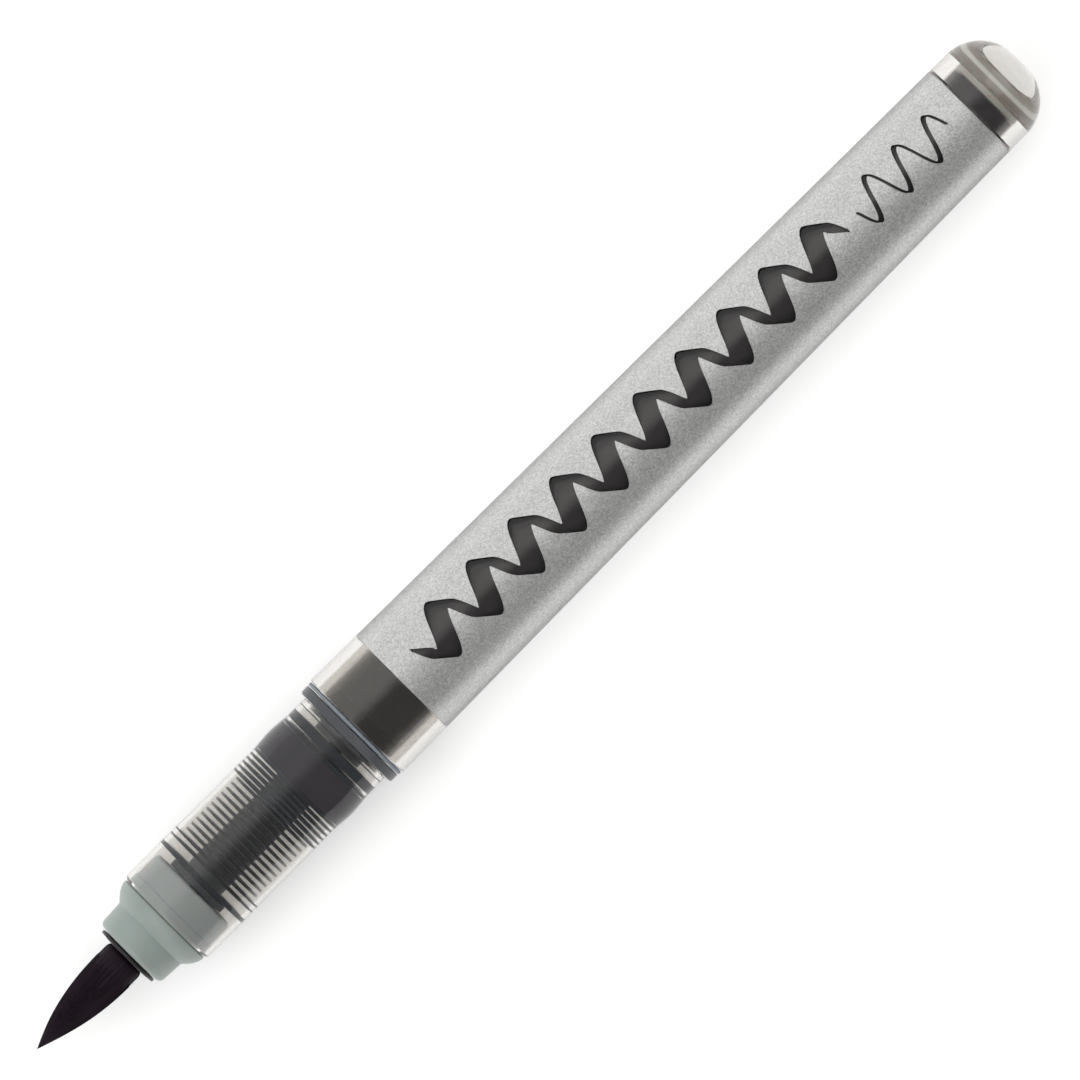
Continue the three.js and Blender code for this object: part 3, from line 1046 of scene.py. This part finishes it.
@dataclass
class Section:
    """The clear section that the fingers hold, with what joins it to the barrel."""

    radius: float = 5.55  # at the rear
    taper: float = 0.15
    wall: float = 0.5
    chamfer: float = 0.3
    swelling: float = 0.17
    swelling_half: float = 2.3
    swelling_to_rear: float = 4.7
    tenon_radius: float = 5.2
    tenon_bore: float = 4.65
    step: float = 0.6
    seat: float = 0.12  # gap between the section and the flange
    skin_rows: int = 90
    skin_margin: float = 0.3  # how far the skin's points stay from the corners
    adapter_bore: float = 0.95
    adapter_plug: float = 2.9
    adapter_plug_length: float = 0.9
    adapter_disc: float = 4.5
    adapter_disc_length: float = 1.6
    spigot: float = 2.2
    flange_radius: float = 6.2
    flange_bore: float = 5.35
    register_radius: float = 5.65
    register_depth: float = 0.12
    gasket_radius: float = 6.25

    def sleeve(self) -> bpy.types.Object:
        """Build the clear section.

        The outside is a slight taper with a swelling h (1 - x^2)^1.5 for the cap to click over.
        """
        start, end = AXIS.span("section_sleeve")
        rear = AXIS.span("flange_ring")[0] - self.seat
        length = rear - start
        middle = rear - self.swelling_to_rear
        margin = self.skin_margin
        station = np.linspace(start + self.chamfer + margin, rear - margin, self.skin_rows)
        reach = np.clip(1 - ((station - middle) / self.swelling_half) ** 2, 0, 1)
        outside = self.at(station - start, length) + self.swelling * reach**1.5
        skin = [(float(here), float(there), 0.0) for here, there in zip(station, outside)]
        front = [
            (start, self.at(0.0, length) - self.wall, 0.04),
            (start, self.at(0.0, length) - self.chamfer, 0.08),
            (start + self.chamfer, self.at(self.chamfer, length), 0.12),
        ]
        back = [
            (rear, self.radius, 0.06), (rear, self.tenon_radius, 0.03), (end, self.tenon_radius, 0.12),
            (end, self.tenon_bore, 0.12), (rear - self.step, self.tenon_bore, 0.05),
            (rear - self.step, self.at(length - self.step, length) - self.wall, 0.05),
        ]
        return turned("section", rounded(front + skin + back))

    def at(self, distance: Any, length: float) -> Any:
        """Give the taper's radius at a distance from the section's front edge."""
        return self.radius + self.taper * (1 - distance / length)

    def build(self, finishes: Finishes) -> None:
        """Build the section, the adapter, the flange and the gasket.

        Args:
            finishes: The materials.
        """
        dress(self.sleeve(), finishes.clear, Body.SECTION, "clear_plastic", "section_sleeve")
        start, end = AXIS.span("tank_adapter")
        disc = start + self.adapter_plug_length
        disc_end = disc + self.adapter_disc_length
        corners = [
            (start, self.adapter_bore, 0.0), (start, self.adapter_plug, 0.1),
            (disc, self.adapter_plug, 0.05), (disc, self.adapter_disc, 0.12),
            (disc_end, self.adapter_disc, 0.12), (disc_end, self.spigot, 0.05),
            (end, self.spigot, 0.15), (end, self.adapter_bore, 0.05),
        ]
        adapter = turned("adapter", rounded(corners))
        dress(adapter, finishes.washed, Body.SECTION, "smoke_grey", "tank_adapter")
        start, end = AXIS.span("flange_ring")
        floor = start + self.register_depth
        corners = [
            (floor, self.flange_bore, 0.03), (floor, self.register_radius, 0.02),
            (start, self.register_radius, 0.03), (start, self.flange_radius, 0.22),
            (end, self.flange_radius, 0.08), (end, self.flange_bore, 0.03),
        ]
        flange = turned("flange", rounded(corners))
        dress(flange, finishes.smoky, Body.SECTION, "smoke_grey", "flange_ring")
        start, end = AXIS.span("barrel_gasket")
        gasket = turned("gasket", tube(start, end, self.flange_bore, self.gasket_radius, 0.08))
        dress(gasket, finishes.seal, Body.SECTION, "grey_plug", "barrel_gasket")
        redress("feed_wick", finishes.fibre)


@dataclass(frozen=True)
class Wave:
    """A run of even waves."""

    start: float
    end: float
    count: float
    height: float
    half_nib: float
    fine: float  # half the width that the stroke keeps everywhere


@dataclass
class Stroke:
    """One brush stroke of even waves, left clear in the silver film, which spells nothing."""

    side: float = UP - 0.13  # angle of the stroke's middle line round the barrel
    slant: float = 0.72  # angle at which the nib is held
    nib_points: int = 61
    waves: tuple[Wave, ...] = (
        Wave(54.4, 112.1, 10.0, 2.3, 1.12, 0.18),
        Wave(114.7, 127.0, 3.0, 2.2, 0.22, 0.1),
    )

    def edges(self, station: np.ndarray) -> tuple[np.ndarray, np.ndarray]:
        """Give the stroke's edges at each station.

        A flat nib, held at a fixed slant, follows the line A sin(t). At each station the stroke runs over
        every height that some point of the nib passes: from the least of A sin(t(x - u a)) + u b to the
        greatest, where u goes from -1 to 1 and (a, b) is half the nib.

        Args:
            station: Stations along the barrel.

        Returns:
            Distances of the far and near edge from the middle line, in millimetres round the barrel.
        """
        upper, lower = np.zeros_like(station), np.zeros_like(station)
        along_nib = np.linspace(-1, 1, self.nib_points)[:, None]
        for wave in self.waves:
            across, rise = wave.half_nib * math.cos(self.slant), wave.half_nib * math.sin(self.slant)
            place = station[None, :] - along_nib * across
            share = (place - wave.start) / (wave.end - wave.start)
            heights = wave.height * np.sin(share * 2 * math.pi * wave.count) + along_nib * rise
            drawn = (share >= 0) & (share <= 1)
            high = np.where(drawn, heights, -np.inf).max(0) + wave.fine
            low = np.where(drawn, heights, np.inf).min(0) - wave.fine
            here = drawn.any(0)
            upper, lower = np.where(here, high, upper), np.where(here, low, lower)
        return upper, lower


@dataclass
class Barrel:
    """The clear barrel with its silver film, and the tank of ink inside."""

    mouth: float = 6.4
    slope: float = 0.815
    wall: float = 1.05
    rear_wall: float = 1.1
    cup_radius: float = 4.08
    cup_depth: float = 4.0
    dome: float = 4.6
    end_thickness: float = 2.7
    inner_dome: float = 1.7
    film_inset: float = 0.03
    film_thickness: float = 0.09
    film_room: float = 0.05  # gap between each end of the film and its recess
    film_rows: int = 960
    film_steps: int = 49
    recess: float = 0.23
    tank_front: float = 4.45
    tank_rear: float = 3.93
    tank_wall: float = 0.6
    spigot_bore: float = 2.6  # radius of the ink's hollow behind the adapter
    spigot_room: float = 0.4
    ink_room: float = 0.05  # gap between the ink and the tank's rear end
    seal_bore: float = 2.35
    plug_gap: float = 0.15  # between the plug's stem and the tank
    plug_edge: float = 1.5
    plug_head: float = 0.12  # gap between the tank and the plug's head
    cup_slope: float = 0.8  # length of the slope in front of the rear hollow
    mouth_room: float = 0.2
    stroke: Stroke = field(default_factory=Stroke)

    def at(self, station: Any) -> Any:
        """Give the barrel's outer radius at a station in front of the dome."""
        film_end = AXIS.span("barrel_film")[1] + self.film_room
        front = AXIS.span("barrel")[0]
        return self.mouth - self.slope * (station - front) / (film_end - front)

    def tank_bore(self, station: float) -> float:
        """Give the tank's inner radius at a station."""
        start, end = AXIS.span("ink_tank")
        share = (station - start) / (end - start)
        return self.tank_front - self.tank_wall + (self.tank_rear - self.tank_front) * share

    def shell(self) -> bpy.types.Object:
        """Build the barrel: a tapered tube with a domed end and a shallow recess for the film."""
        start, end = AXIS.span("barrel")
        film_start, film_end = AXIS.span("barrel_film")
        film_start, film_end = film_start - self.film_room, film_end + self.film_room
        inner_end = end - self.end_thickness
        cup = inner_end - self.cup_depth
        rear_bore = self.at(cup) - self.rear_wall
        rim = end - self.dome
        dome_rim = self.at(rim)
        bend = np.linspace(0, math.pi / 2, 26)[1:-1]
        dome = np.stack(
            [rim + self.dome * np.sin(bend), dome_rim - self.dome * (1 - np.cos(bend))], axis=1
        )
        hollow_rim = self.cup_radius - self.inner_dome
        back = bend[::-1]  # this arc runs from the wall to the flat, so the outline folds over itself here
        hollow = np.stack(
            [inner_end - self.inner_dome * (1 - np.cos(back)), hollow_rim + self.inner_dome * np.sin(back)],
            axis=1,
        )
        outside = rounded([
            (start, self.mouth - self.wall, 0.05), (start, self.mouth, 0.14),
            (film_start, self.at(film_start), 0.05),
            (film_start, self.at(film_start) - self.recess, 0.02),
            (film_end, self.at(film_end) - self.recess, 0.02), (film_end, self.at(film_end), 0.05),
            (rim, dome_rim, 0.0),
        ], closed=False)
        flat = np.array([(inner_end, 0.0), (inner_end, hollow_rim)])
        cup_wall = rounded([
            (inner_end - self.inner_dome, self.cup_radius, 0.0), (cup, self.cup_radius, 0.06),
            (cup - self.cup_slope, rear_bore, 0.06),
            (start + self.mouth_room, self.mouth - self.wall, 0.0),
        ], closed=False)
        end_face = np.array([(end, dome_rim - self.dome), (end, 0.0)])
        outline = np.vstack([flat, hollow, cup_wall, outside, dome, end_face])
        return turned("barrel_shell", outline)

    def film(self) -> bpy.types.Object:
        """Build the silver film with the stroke left open in it.

        The surface is place(x, r(x), a(u, x)): at each station u runs from the stroke's upper edge round
        the back to its lower edge, so the opening is the part that u doesn't cover. Where the stroke has
        no width both edges meet and the film is whole.
        """
        start, end = AXIS.span("barrel_film")
        rows, steps = self.film_rows, self.film_steps
        station = np.linspace(start, end, rows)
        upper, lower = self.stroke.edges(station)
        outer = self.at(station) - self.film_inset
        inner = outer - self.film_thickness
        first = self.stroke.side + upper / outer
        last = self.stroke.side + lower / outer + 2 * math.pi
        share = np.linspace(0, 1, steps)
        angle = first[:, None] + (last - first)[:, None] * share
        grid = np.stack(
            [
                AXIS.place(station[:, None], outer[:, None], angle),
                AXIS.place(station[:, None], inner[:, None], angle),
            ]
        )
        index = np.arange(2 * rows * steps).reshape(2, rows, steps)
        closed = np.abs(upper - lower) < 1e-9
        index[:, closed, -1] = index[:, closed, 0]
        sheets = []
        for sheet, turn in ((index[0], 1), (index[1], -1)):
            quads = np.stack([sheet[:-1, :-1], sheet[:-1, 1:], sheet[1:, 1:], sheet[1:, :-1]], axis=-1)
            sheets.append(quads.reshape(-1, 4)[:, ::turn])
        for row, turn in ((0, -1), (rows - 1, 1)):
            edge_out, edge_in = index[0, row], index[1, row]
            quads = np.stack([edge_out[:-1], edge_in[:-1], edge_in[1:], edge_out[1:]], axis=-1)
            sheets.append(quads[:, ::-turn])
        open_rows = ~(closed[:-1] & closed[1:])
        for column, turn in ((0, 1), (steps - 1, -1)):
            edge_out, edge_in = index[0, :, column], index[1, :, column]
            quads = np.stack([edge_out[:-1], edge_out[1:], edge_in[1:], edge_in[:-1]], axis=-1)
            sheets.append(quads[open_rows][:, ::turn])
        faces = np.concatenate(sheets)
        used, lookup = np.unique(faces, return_inverse=True)
        corners = [list(dict.fromkeys(face)) for face in lookup.reshape(faces.shape).tolist()]
        corners = [face for face in corners if len(face) > 2]
        return mesh_from_grid("silver_film", grid.reshape(-1, 3)[used], corners)

    def build(self, finishes: Finishes) -> None:
        """Build the barrel, the film, the tank, its ink and its plugs.

        Args:
            finishes: The materials.
        """
        dress(self.shell(), finishes.clear, Body.BARREL, "clear_plastic", "barrel")
        dress(self.film(), finishes.silver, Body.BARREL, "silver_film", "barrel_film")
        self.tank(finishes)

    def tank(self, finishes: Finishes) -> None:
        """Build the tank and what is in it.

        Args:
            finishes: The materials.
        """
        start, end = AXIS.span("ink_tank")
        rear, stem = self.tank_rear, self.tank_rear - self.tank_wall - self.plug_gap
        tank = rounded([
            (start, self.tank_bore(start), 0.1), (start, self.tank_front, 0.15), (end, rear, 0.1),
            (end, self.tank_bore(end), 0.1),
        ])
        dress(turned("tank", tank), finishes.clear, Body.BARREL, "clear_plastic", "ink_tank")

        low, high = AXIS.span("tank_ink")
        spigot = AXIS.span("tank_adapter")[1] + self.spigot_room
        ink_end, neck = end - self.ink_room, stem + SEAM
        ink = rounded([
            (spigot, 0.0, 0.0), (spigot, self.spigot_bore, 0.1), (low, self.spigot_bore, 0.1),
            (low, self.tank_bore(low) + CONTACT, 0.05), (ink_end, self.tank_bore(end) + CONTACT, 0.03),
            (ink_end, neck, 0.03), (high, neck, 0.0), (high, 0.0, 0.0),
        ], closed=False)
        dress(turned("ink", ink), finishes.ink, Body.BARREL, "dark_ink", "tank_ink")
        low, high = AXIS.span("tank_mouth_seal")
        behind = AXIS.span("tank_ink")[0] - SEAM / 2
        seal = tube(low, behind, self.seal_bore, self.tank_bore(high) + CONTACT, 0.04)
        dress(turned("tank_seal", seal), finishes.rubber, Body.BARREL, "dark_rubber", "tank_mouth_seal")
        low, high = AXIS.span("tank_end_plug")
        head = end + self.plug_head
        plug = rounded([
            (low, 0.0, 0.0), (low, stem, 0.15), (head, stem, 0.0), (head, rear, 0.1),
            (high, rear, self.plug_edge), (high, 0.0, 0.0),
        ], closed=False)
        dress(turned("end_plug", plug), finishes.plug, Body.BARREL, "grey_plug", "tank_end_plug")


# ---------------------------------------------------------------- studio


@dataclass
class Studio:
    """The ground, the soft lights and the camera straight above."""

    lens: float = 700.0
    sensor: float = 36.0
    distance: float = 2.058
    heading: float = -45.1
    aside: tuple[float, float] = (1.852, 0.15)  # the camera's X and Y, in millimetres
    ground_half: float = 1.6
    ground_lines: int = 17
    ground_drop: float = 0.0002  # how far the ground lies under the marker
    lamp_angle: float = 50.0  # above the ground, in degrees
    lamp_away: float = 1.6
    lamp_side: float = 1.2
    watts: float = 5.0
    dim: float = 0.28  # the sky's brightness on the -Y side
    bright: float = 0.95  # its brightness on the +Y side and beyond both ends

    def ground(self) -> None:
        """Lay the pale ground under the marker."""
        mesh = bpy.data.meshes.new("ground")
        lines = self.ground_lines
        side = np.linspace(-self.ground_half, self.ground_half, lines)
        x, y = np.meshgrid(side, side, indexing="ij")
        index = np.arange(lines * lines).reshape(lines, lines)
        quads = np.stack([index[:-1, :-1], index[1:, :-1], index[1:, 1:], index[:-1, 1:]], axis=-1)
        points = np.stack([x, y, np.full_like(x, -self.ground_drop)], axis=-1).reshape(-1, 3)
        mesh.from_pydata(points.tolist(), [], quads.reshape(-1, 4).tolist())
        mesh.materials.append(PaleGround().make())
        ground = bpy.data.objects.new("ground", mesh)
        bpy.context.scene.collection.objects.link(ground)

    def lamp(self, name: str, azimuth: float) -> None:
        """Hang one soft light that faces the marker.

        Args:
            name: Its name.
            azimuth: Direction round the marker, in degrees from +X over +Y.
        """
        light = bpy.data.lights.new(name, "AREA")
        light.shape = "RECTANGLE"
        light.size = light.size_y = self.lamp_side
        light.energy = self.watts
        lamp = bpy.data.objects.new(name, light)
        turn, height = math.radians(azimuth), math.radians(self.lamp_angle)
        flat = math.cos(height)
        where = np.array([math.cos(turn) * flat, math.sin(turn) * flat, math.sin(height)])
        lamp.location = tuple(where * self.lamp_away)
        lamp.rotation_euler = (UP - height, 0.0, turn + UP)
        lamp.visible_camera = False
        bpy.context.scene.collection.objects.link(lamp)

    def sky(self) -> None:
        """Surround the marker with soft grey that brightens towards +Y and towards both ends."""
        world = bpy.data.worlds.new("studio")
        bpy.context.scene.world = world
        graph = Graph(world, "Background")
        where = graph.node("ShaderNodeTexCoord", {}, {})
        parts = graph.node("ShaderNodeSeparateXYZ", {}, {0: where.outputs["Generated"]})
        side = Value(graph, parts.outputs["Y"]).between(-0.12, 0.4, "SMOOTHSTEP")
        along = Value(graph, parts.outputs["X"])
        ends = (along * along).between(0.2, 0.6, "SMOOTHSTEP")
        share = side + (1.0 - side) * ends
        graph.set(Color=(1.0, 0.995, 0.985), Strength=self.dim + (self.bright - self.dim) * share)

    def camera(self) -> None:
        """Set the camera up above the marker, turned so that the brush points down to the left."""
        data = bpy.data.cameras.new("camera")
        data.lens = self.lens
        data.sensor_width = self.sensor
        data.clip_start, data.clip_end = 0.01, 20.0
        camera = bpy.data.objects.new("camera", data)
        camera.location = (self.aside[0] * MM, self.aside[1] * MM, AXIS.height + self.distance)
        camera.rotation_euler = (0.0, 0.0, math.radians(self.heading))
        bpy.context.scene.collection.objects.link(camera)
        bpy.context.scene.camera = camera

    def build(self) -> None:
        """Build the studio."""
        self.ground()
        self.sky()
        self.lamp("head_light", 180.0)
        self.lamp("tail_light", 0.0)
        self.camera()
        bpy.context.scene.view_settings.view_transform = "Standard"


def main() -> None:
    """Build the marker from the brush back, then the studio."""
    logging.basicConfig(level=logging.INFO, format="%(name)s %(message)s")
    finishes = Finishes()
    for assembly in (Brush(), Nose(), Collector(), Section(), Barrel()):
        assembly.build(finishes)
    Studio().build()


if __name__ == "__main__":
    main()
